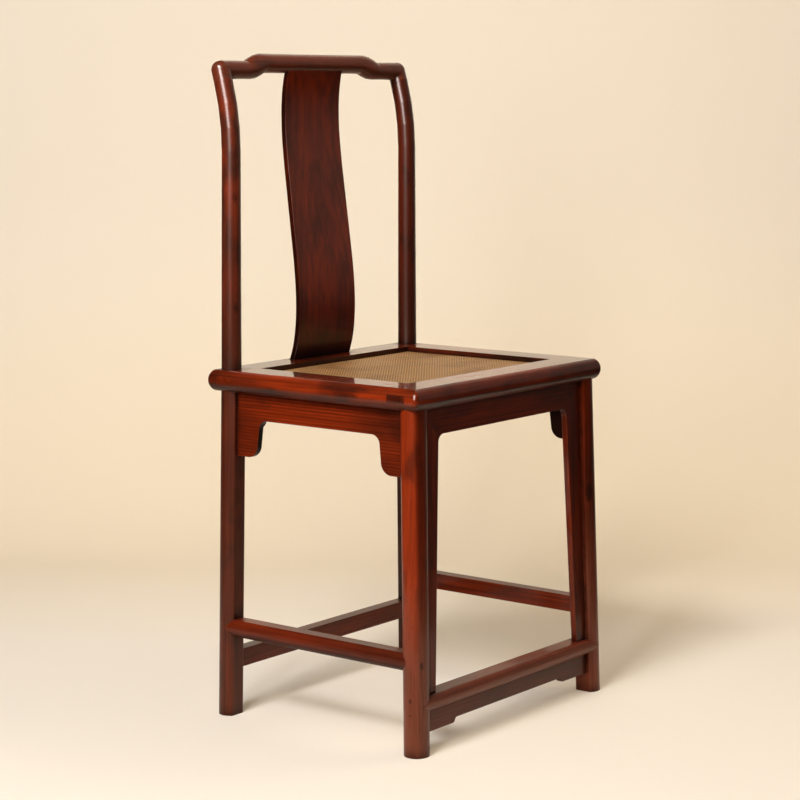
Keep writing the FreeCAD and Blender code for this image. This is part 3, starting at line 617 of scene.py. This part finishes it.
# %% The plain look
PLAIN_LOOK = {
    "tone": 1.0,                    # lightness of the whole piece
    "rings": 0.35,                  # darkness of the late wood
    "fibre": 0.7,                   # how much the fibres differ
    "streaks": 0.45,                # darkness of the streaks
    "wander": 0.010,                # how far the rings stray from true circles
    "clouds": 0.7,                  # strength of the cloudy patches
    "facing": (0.0, -1.0, 0.0),     # way that the faces with painted shade look
    "front": 0.55,                  # how much painted shade darkens them
    "inner": 0.0,                   # the same painted shade on faces that look inwards
    "foot": 0.4,                    # how much the lower end darkens
    "foot_range": (0.08, 0.40),     # heights where that is full and where it starts
    "film": 0.0,                    # pale brown film all over, painted sheen
    "dust": 0.4,                    # more dust at the lower end
    "stains": 0.5,                  # dark patches of old polish
    "wear": 0.3,                    # paleness of the arrises, wear and painted highlight
    "haze": 0.07,                   # how softly the polish mirrors
    "tenons": False,                # whether the rail's tenons show their ends
    "knots": (),                    # centre and size of each knot
}
print(len(PLAIN_LOOK), "values in the plain look")

# %% [markdown]
# The colour is built in layers: stained wood first, then painted shade, then dust and a film of
# painted sheen over it. Pictures of wood could be wrapped round each piece instead, but they would
# stretch at the bends.

# %% Stain, painted shade, dust and sheen
STAIN_LIGHT = linear(178, 57, 13)
STAIN_MIDDLE = linear(98, 32, 12)
STAIN_DARK = linear(58, 20, 9)
DUST_BROWN = linear(126, 70, 50)
CLOUD_RANGE = (0.38, 0.62)
STAIN_RANGE = (0.48, 0.66)
FIBRE_RANGE = (0.25, 0.75)
FIBRE_WIDE_RANGE = (0.2, 0.8)
DUST_UNEVENNESS = (0.7, 1.3)


def grey(tree, value):
    """Colour with the same number in red, green and blue."""
    made = add(tree, "ShaderNodeCombineColor")
    for socket in made.inputs:
        tree.links.new(value, socket)
    return made.outputs[0]


def stained_colour(tree, figure, look):
    colour = mix(tree, calc(tree, "MULTIPLY", figure["Rings"], look["rings"]), STAIN_LIGHT, STAIN_DARK)
    colour = mix(tree, ease(tree, figure["Cloud"], *CLOUD_RANGE, 0.0, look["clouds"]), colour, STAIN_MIDDLE)
    colour = mix(tree, calc(tree, "MULTIPLY", figure["Streak"], look["streaks"]), colour, STAIN_DARK)
    return mix(tree, ease(tree, figure["Stain"], *STAIN_RANGE, 0.0, look["stains"]), colour, STAIN_DARK)


def aged_colour(tree, colour, figure, patina, look):
    darkest = look["tone"] * (1 - look["fibre"] / 2)
    lightest = look["tone"] * (1 + look["fibre"] / 2)
    shade = ease(tree, figure["Fibre"], *FIBRE_RANGE, darkest, lightest)
    shade = calc(tree, "MULTIPLY", shade, patina["Shade"])
    colour = mix(tree, 1.0, colour, grey(tree, shade), "MULTIPLY")
    # Dust towards the floor, and a pale film over the back that is painted sheen, in one colour.
    dusty = ease(tree, patina["Low"], 0.0, 1.0, look["film"], look["film"] + look["dust"])
    uneven = ease(tree, figure["Fibre"], *FIBRE_WIDE_RANGE, *DUST_UNEVENNESS)
    return mix(tree, calc(tree, "MULTIPLY", dusty, uneven), colour, DUST_BROWN)


print("wood can be stained and aged")

# %% [markdown]
# Pores, knots, pale arrises, which are wear and painted highlight, and the ends of the tenons lie
# over that. Each is a mask that mixes in one more colour, so any of them can be turned down without
# touching the rest.

# %% Marks
PORE_DARK = linear(30, 11, 7)
WORN_PALE = linear(176, 88, 50)
PORE_STRENGTH = 0.5
KNOT_STRENGTH = 0.8
ARRIS_REACH = 0.0012
TENON_SIDE = 0.2085
TENON_INSET = 0.1695
TENON_PATCH_RANGE = (0.35, 0.6)
TENON_STRENGTHS = (0.25, 0.65)


def marked_colour(tree, colour, figure, place, seed, look):
    colour = mix(tree, calc(tree, "MULTIPLY", figure["Pores"], PORE_STRENGTH), colour, PORE_DARK)
    for centre, size in look["knots"]:
        knot = place_group(tree, KNOT, Place=place, Centre=centre, Size=size)["Knot"]
        colour = mix(tree, calc(tree, "MULTIPLY", knot, KNOT_STRENGTH), colour, PORE_DARK)
    # The pale arris line is partly wear and partly a painted highlight.
    worn = place_group(tree, WORN_ARRIS, Reach=ARRIS_REACH, Seed=seed)["Wear"]
    colour = mix(tree, calc(tree, "MULTIPLY", worn, look["wear"]), colour, WORN_PALE)
    if look["tenons"]:
        end = place_group(tree, END_GRAIN, Side=TENON_SIDE, Inset=TENON_INSET)["End"]
        patchy = ease(tree, figure["Stain"], *TENON_PATCH_RANGE, *TENON_STRENGTHS)
        colour = mix(tree, calc(tree, "MULTIPLY", end, patchy), colour, PORE_DARK)
    return colour


print("wood can be marked")

# %% [markdown]
# The polish is a clear coat over the stained wood. The coat mirrors the room, sharply on the seat and
# hazily on the posts, while the wood under it stays soft. One rough shader could stand for both, but
# it would lose either the mirrored streaks or the depth of the stain. The mask of grime and painted
# shade dulls the coat.

# %% Polish
WOOD_ROUGHNESS = (0.34, 0.5)
WOOD_SPECULAR = 0.16
WOOD_SPECULAR_TINT = (1.0, 0.62, 0.42, 1.0)
FIBRE_BUMP = 0.25
FIBRE_DEPTH = 0.0001


def polish(tree, shader, figure, patina, grime, haze):
    roughness = ease(tree, figure["Fibre"], *FIBRE_WIDE_RANGE, *WOOD_ROUGHNESS)
    tree.links.new(roughness, shader.inputs["Roughness"])
    gloss = calc(tree, "MULTIPLY", patina["Gloss"], calc(tree, "SUBTRACT", 1.0, grime))
    tree.links.new(gloss, shader.inputs["Coat Weight"])
    shader.inputs["Coat Roughness"].default_value = haze
    shader.inputs["Specular IOR Level"].default_value = WOOD_SPECULAR
    shader.inputs["Specular Tint"].default_value = WOOD_SPECULAR_TINT
    bump = add(tree, "ShaderNodeBump")
    bump.inputs["Strength"].default_value = FIBRE_BUMP
    bump.inputs["Distance"].default_value = FIBRE_DEPTH
    tree.links.new(calc(tree, "SUBTRACT", figure["Fibre"], figure["Pores"]), bump.inputs["Height"])
    tree.links.new(bump.outputs[0], shader.inputs["Normal"])


print("wood can be polished")

# %% [markdown]
# One function now makes the finish of any piece. The figure wants its third number along the grain,
# so the place on the object is turned first. The pieces themselves could be turned instead, but they
# have to stay where the joinery put them.

# %% Hardwood
GRAIN_ORDER = {"X": ("Y", "Z", "X"), "Y": ("Z", "X", "Y"), "Z": ("X", "Y", "Z")}
GRIME_REACH = 0.02
GRIME_STRENGTH = 0.92


def along_grain(tree, grain):
    """Place on the object with its third number along the grain."""
    place = split(tree, add(tree, "ShaderNodeTexCoord").outputs["Object"])
    turned = add(tree, "ShaderNodeCombineXYZ")
    for socket, axis in zip(turned.inputs, GRAIN_ORDER[grain]):
        tree.links.new(place[axis], socket)
    return turned.outputs[0]


def hardwood(name, grain, pith, lean, ring_width, seed, **own_look):
    """Polished wood with the plain look, apart from what the piece has of its own."""
    look = {**PLAIN_LOOK, **own_look}
    material, tree, shader = new_material(name)
    place = along_grain(tree, grain)
    figure = place_group(tree, WOOD_FIGURE, Place=place, Pith=(*pith, 0.0), Lean=lean,
                         Ring_Width=ring_width, Wander=look["wander"], Seed=seed)
    foot_low, foot_high = look["foot_range"]
    patina = place_group(tree, PATINA, Facing=look["facing"], Front=look["front"], Inner=look["inner"],
                         Foot=look["foot"], Foot_Low=foot_low, Foot_High=foot_high)
    grime = place_group(tree, JOINT_GRIME, Reach=GRIME_REACH, Seed=seed)["Grime"]
    colour = stained_colour(tree, figure, look)
    colour = aged_colour(tree, colour, figure, patina, look)
    colour = marked_colour(tree, colour, figure, place, seed, look)
    # Joints and hollows are darkened here, partly as grime and partly as painted shade.
    colour = mix(tree, calc(tree, "MULTIPLY", grime, GRIME_STRENGTH), colour, PORE_DARK)
    tree.links.new(colour, shader.inputs["Base Color"])
    polish(tree, shader, figure, patina, grime, look["haze"])
    return material


def finish_with(material, *names):
    """Give pieces their finish."""
    for name in names:
        nodes[name].data.materials.clear()
        nodes[name].data.materials.append(material)
    print(material.name, "on", ", ".join(names))


print("hardwood ready, with the grain along", ", ".join(GRAIN_ORDER))

# %% [markdown]
# The back is handled most, so the polish of its crest and posts is hazy and stained, and a pale brown
# film over them is painted sheen. The splat is a wide board sawn close to the pith, which draws arches
# on its face; its arris is painted pale, as wear and painted highlight, and its side faces are darkened
# as painted shade.

# %% Wood of the back
POST_KNOTS = (((-0.205, 0.150, 0.743), 0.006), ((-0.206, 0.150, 0.588), 0.006))

finish_with(
    hardwood("crest_wood", "X", pith=(0.35, 0.80), lean=0.02, ring_width=0.007, seed=1.0, tone=0.8,
             front=0.0, foot=0.0, film=0.5, dust=0.0, stains=0.7, haze=0.2),
    "crest_rail",
)
finish_with(
    hardwood("splat_wood", "Z", pith=(0.004, 0.09), lean=0.0, ring_width=0.0075, seed=2.0, tone=0.72,
             rings=0.24, fibre=0.45, streaks=0.1, wear=1.0, haze=0.14, facing=(-1.0, 0.0, 0.0), front=0.6,
             foot=0.8, foot_range=(0.50, 0.64), dust=0.0),
    "back_splat",
)
finish_with(
    hardwood("right_post_wood", "Z", pith=(-0.31, 0.52), lean=0.01, ring_width=0.012, seed=3.0, tone=0.85,
             rings=0.15, fibre=0.5, clouds=0.9, front=0.0, foot=0.65, foot_range=(0.35, 0.75), film=0.2,
             dust=0.03, stains=0.9, haze=0.26, knots=POST_KNOTS),
    "rear_leg_right",
)
finish_with(
    hardwood("left_post_wood", "Z", pith=(0.30, 0.54), lean=0.01, ring_width=0.012, seed=4.0, tone=0.28,
             rings=0.2, fibre=0.5, front=0.2, foot=0.55, foot_range=(0.35, 0.75), film=0.08, dust=0.05,
             stains=0.9, haze=0.26),
    "rear_leg_left",
)

# %% [markdown]
# The front legs are redder than the back, darkened in front as painted shade and dusty at the foot,
# with a few small knots. The rails of the seat have cloudy patches and painted shade on their inner
# faces, and only the front and rear ones show tenons.

# %% Wood of the front legs and the seat
RIGHT_LEG_KNOTS = (
    ((-0.2253, -0.1777, 0.078), 0.0034),
    ((-0.2258, -0.1778, 0.058), 0.0028),
    ((-0.2158, -0.1887, 0.126), 0.0036),
)
LEFT_LEG_KNOTS = (((0.196, -0.187, 0.303), 0.009),)

finish_with(
    hardwood("right_leg_wood", "Z", pith=(-0.50, -0.10), lean=0.01, ring_width=0.012, seed=5.0, tone=1.25,
             rings=0.08, fibre=0.4, streaks=0.12, clouds=0.5, front=0.72, foot=0.68,
             foot_range=(0.04, 0.36), dust=0.6, stains=0.65, knots=RIGHT_LEG_KNOTS),
    "front_leg_right",
)
finish_with(
    hardwood("left_leg_wood", "Z", pith=(0.50, -0.12), lean=0.01, ring_width=0.012, seed=6.0, rings=0.15,
             fibre=0.5, dust=0.5, knots=LEFT_LEG_KNOTS),
    "front_leg_left",
)
finish_with(
    hardwood("side_rail_wood", "Y", pith=(0.90, -0.25), lean=0.01, ring_width=0.010, seed=7.0, tone=0.85,
             rings=0.2, clouds=0.95, stains=0.8, inner=0.6),
    "seat_rail_right", "seat_rail_left",
)
finish_with(
    hardwood("end_rail_wood", "X", pith=(-0.25, 0.90), lean=0.01, ring_width=0.010, seed=8.0, tone=0.8,
             rings=0.2, inner=0.6, tenons=True),
    "seat_rail_front", "seat_rail_rear",
)

# %% [markdown]
# The side aprons are quartered boards with close, straight rings, darkened on their front edges and
# inner faces as painted shade. The rest of the lower frame is plainer, with painted shade on its front
# faces too, and the footrest is the dustiest piece of all.

# %% Wood of the aprons and stretchers
finish_with(
    hardwood("side_apron_wood", "Y", pith=(1.10, -0.20), lean=0.0, ring_width=0.0045, seed=9.0, tone=0.66,
             rings=0.55, fibre=0.6, streaks=0.15, wander=0.002, front=0.85, inner=0.9),
    "side_apron_right", "side_apron_left",
)
finish_with(
    hardwood("front_board_wood", "X", pith=(-0.17, 0.95), lean=0.01, ring_width=0.006, seed=10.0, tone=0.75,
             rings=0.2, inner=0.6, dust=0.2),
    "front_apron", "footrest_apron", "rear_apron",
)
finish_with(
    hardwood("strip_wood", "Z", pith=(0.05, -0.60), lean=0.01, ring_width=0.008, seed=11.0, rings=0.2,
             dust=0.08),
    "front_strip_left", "front_strip_right",
)
finish_with(
    hardwood("footrest_wood", "X", pith=(-0.25, 0.50), lean=0.01, ring_width=0.009, seed=12.0, tone=1.3,
             rings=0.2, front=0.84, foot=0.1, dust=0.65),
    "footrest",
)
finish_with(
    hardwood("rear_stretcher_wood", "X", pith=(0.25, 0.50), lean=0.01, ring_width=0.009, seed=16.0,
             tone=0.68, rings=0.2, front=0.2, dust=0.1),
    "rear_stretcher",
)
finish_with(
    hardwood("side_stretcher_wood", "Y", pith=(0.60, -0.25), lean=0.01, ring_width=0.009, seed=13.0,
             tone=0.85, rings=0.2, dust=0.05),
    "side_stretcher_left", "side_stretcher_right",
)
finish_with(
    hardwood("brace_wood", "Y", pith=(0.80, 0.02), lean=0.01, ring_width=0.008, seed=14.0, tone=0.8),
    "seat_brace_left", "seat_brace_right",
)
finish_with(
    hardwood("peg_wood", "Z", pith=(0.0, 0.3), lean=0.0, ring_width=0.004, seed=15.0, tone=1.1),
    "mat_pegs",
)

# %% [markdown]
# ## Eased arrises
# No arris on an old chair is sharp: a plane took it off and hands rounded it further, so each edge
# carries a thin line of light. The joiner's meshes are cut sharp. On the splat and the thin boards, a
# bevel modifier rounds every edge that turns by more than a third of a right angle, once the
# triangles of each flat face are joined again, and weighted normals keep the flats flat beside it.

# %% Rounded edges
SHARP_TURN = math.radians(30)
FLAT_TURN = math.radians(0.3)
SAME_PLACE = 0.00001
ARRIS_STEPS = 2
SPLAT_ARRIS = 0.0015
BOARD_ARRIS = 0.0007


def ease_arrises(width, *names):
    for name in names:
        piece = nodes[name]
        weld = piece.modifiers.new("join_corners", "WELD")
        weld.merge_threshold = SAME_PLACE
        flats = piece.modifiers.new("join_flats", "DECIMATE")
        flats.decimate_type = "DISSOLVE"
        flats.angle_limit = FLAT_TURN
        arris = piece.modifiers.new("arris", "BEVEL")
        arris.width = width
        arris.segments = ARRIS_STEPS
        arris.limit_method = "ANGLE"
        arris.angle_limit = SHARP_TURN
        arris.use_clamp_overlap = False
        normals = piece.modifiers.new("flat_faces", "WEIGHTED_NORMAL")
        normals.keep_sharp = False
    print(width * 1000, "mm arrises on", ", ".join(names))


ease_arrises(SPLAT_ARRIS, "back_splat")
ease_arrises(BOARD_ARRIS, "side_apron_right", "side_apron_left", "front_apron", "footrest_apron",
             "rear_apron", "front_strip_left", "front_strip_right")

# %% [markdown]
# ## The cane seat
# The seat is a mat of split cane in a two-over, two-under twill whose diagonal breaks every few
# strands, stretched in the step of the frame. The weave could be a bump in a flat sheet, but it
# shows as a fine chequer from the side, so each strand is a narrow ribbon that really climbs over
# and dives under its neighbours.

# %% Weaving a mat
HALF_STRAND = 0.47       # half the width of a ribbon, as a share of the room that it has


def over_under(across_seat, back_seat, float_length, break_length):
    """One where the strand that runs across lies on top, minus one where it lies below."""
    diagonal = (across_seat - back_seat) % (2 * float_length) < float_length
    broken = (across_seat + back_seat) // break_length % 2 == 1
    return 1.0 if diagonal != broken else -1.0


def woven_mat(name, low, high, pitch, lift, crown, float_length, break_length):
    """Ribbons both ways between two corners; each ribbon has a crowned middle."""
    counts = [max(2, round((high[axis] - low[axis]) / pitch)) for axis in (0, 1)]
    steps = [(high[axis] - low[axis]) / counts[axis] for axis in (0, 1)]
    middle = (low[2] + high[2]) / 2
    corners = []
    faces = []
    finishes = []
    for way in (0, 1):
        across = 1 - way
        for strand in range(counts[across]):
            centre = low[across] + (strand + 0.5) * steps[across]
            for crossing in range(counts[way]):
                run = low[way] + (crossing + 0.5) * steps[way]
                cell = (crossing, strand) if way == 0 else (strand, crossing)
                sign = over_under(*cell, float_length, break_length) * (1 if way == 0 else -1)
                for side in (-1, 0, 1):
                    point = [0.0, 0.0, middle + sign * lift + (crown if side == 0 else 0.0)]
                    point[way] = run
                    point[across] = centre + side * HALF_STRAND * steps[across]
                    corners.append(point)
                if crossing:
                    first = len(corners) - 6
                    for side in (0, 1):
                        quad = (first + side, first + side + 1, first + side + 4, first + side + 3)
                        faces.append(quad if way else tuple(reversed(quad)))
                        finishes.append(way)
    mesh = bpy.data.meshes.new(name)
    mesh.from_pydata(corners, [], faces)
    mesh.polygons.foreach_set("use_smooth", [True] * len(faces))
    mesh.polygons.foreach_set("material_index", finishes)
    mat = bpy.data.objects.new(name, mesh)
    bpy.context.scene.collection.objects.link(mat)
    return mat


CANE_PITCH = 0.0013
mat_low, mat_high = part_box("cane_mat")
cane = woven_mat("woven_cane", mat_low, mat_high, CANE_PITCH, lift=0.00028, crown=0.00013,
                 float_length=2, break_length=14)
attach(cane, "root")
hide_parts("cane_mat")
print("cane has", len(cane.data.polygons), "faces")

# %% [markdown]
# Under the cane lies a coarser web of palm cords that carries the weight. It is the same weave with
# wider strands, one over and one under, and its diagonal never breaks.

# %% Weaving the web
WEB_PITCH = 0.0085
NEVER_BREAKS = 1000      # more strands than the web has both ways together
web_low, web_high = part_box("palm_webbing")
web = woven_mat("palm_web", web_low, web_high, WEB_PITCH, lift=0.0007, crown=0.0006,
                float_length=1, break_length=NEVER_BREAKS)
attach(web, "root")
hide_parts("palm_webbing")
print("web has", len(web.data.polygons), "faces")

# %% [markdown]
# Strands differ because each was split from another cane. A number drawn for each strand from its
# place across the mat, the same on every run, shifts its tone, and a slow cloud darkens the parts
# that have seen more use.

# %% Tone of a strand
STRAND_CLOUD = {"scale": 11.0, "detail": 4.0}
STRAND_FIBRE = {"scale": 2200.0, "detail": 1.0}


def strand_tone_group():
    tree, taken, given = group_of(
        "strand_tone",
        [("Place", PLACE), ("Across", NUMBER), ("Pitch", NUMBER), ("Seed", NUMBER)],
        [("Strand", NUMBER), ("Cloud", NUMBER), ("Fibre", NUMBER)],
    )
    count = calc(tree, "FLOOR", calc(tree, "DIVIDE", taken["Across"], taken["Pitch"]))
    pair = add(tree, "ShaderNodeCombineXYZ")
    tree.links.new(count, pair.inputs["X"])
    tree.links.new(taken["Seed"], pair.inputs["Y"])
    dice = add(tree, "ShaderNodeTexWhiteNoise", noise_dimensions="2D")
    tree.links.new(pair.outputs[0], dice.inputs["Vector"])
    tree.links.new(dice.outputs["Value"], given["Strand"])
    tree.links.new(noise(tree, taken["Place"], taken["Seed"], **STRAND_CLOUD), given["Cloud"])
    tree.links.new(noise(tree, taken["Place"], taken["Seed"], **STRAND_FIBRE), given["Fibre"])
    return tree


STRAND_TONE = strand_tone_group()
print("strand tone group ready")

# %% [markdown]
# Strands that run across the seat are painted paler than those that run back, a painted sheen for
# the light that they catch, so each way has three tones of its own: pale, brown and dark.

# %% Cane and palm
# The strands across the seat are painted paler than those that run back, as painted sheen.
CANE_TONES = (
    (linear(250, 200, 132), linear(230, 172, 104), linear(170, 114, 62)),
    (linear(208, 150, 88), linear(172, 116, 64), linear(112, 70, 38)),
)
PALM_TONES = (
    (linear(128, 88, 52), linear(98, 64, 38), linear(58, 36, 22)),
    (linear(110, 74, 44), linear(84, 54, 32), linear(50, 31, 19)),
)
FIRST_STRAND_SEED = 20.0
USED_RANGE = (0.45, 0.75)
DARK_FIBRE_RANGE = (0.3, 0.8)
DARK_FIBRE_STRENGTH = 0.4
STRAND_ROUGHNESS = (0.38, 0.6)


def strand_material(name, across_axis, start, pitch, seed, pale, brown, dark):
    material, tree, shader = new_material(name)
    place = add(tree, "ShaderNodeTexCoord").outputs["Object"]
    across = calc(tree, "SUBTRACT", split(tree, place)[across_axis], start)
    tone = place_group(tree, STRAND_TONE, Place=place, Across=across, Pitch=pitch, Seed=seed)
    colour = mix(tree, tone["Strand"], brown, pale)
    colour = mix(tree, ease(tree, tone["Cloud"], *USED_RANGE), colour, dark)
    dark_fibre = ease(tree, tone["Fibre"], *DARK_FIBRE_RANGE, 0.0, DARK_FIBRE_STRENGTH)
    tree.links.new(mix(tree, dark_fibre, colour, dark), shader.inputs["Base Color"])
    roughness = ease(tree, tone["Fibre"], *FIBRE_WIDE_RANGE, *STRAND_ROUGHNESS)
    tree.links.new(roughness, shader.inputs["Roughness"])
    return material


for mat, title, pitch, start, tones in (
    (cane, "cane", CANE_PITCH, mat_low, CANE_TONES),
    (web, "palm", WEB_PITCH, web_low, PALM_TONES),
):
    for way, axis in enumerate(("Y", "X")):
        made = strand_material(f"{title}_strand_{way}", axis, start[1 - way], pitch,
                               FIRST_STRAND_SEED + way, *tones[way])
        mat.data.materials.append(made)
    print(title, "strands coloured")
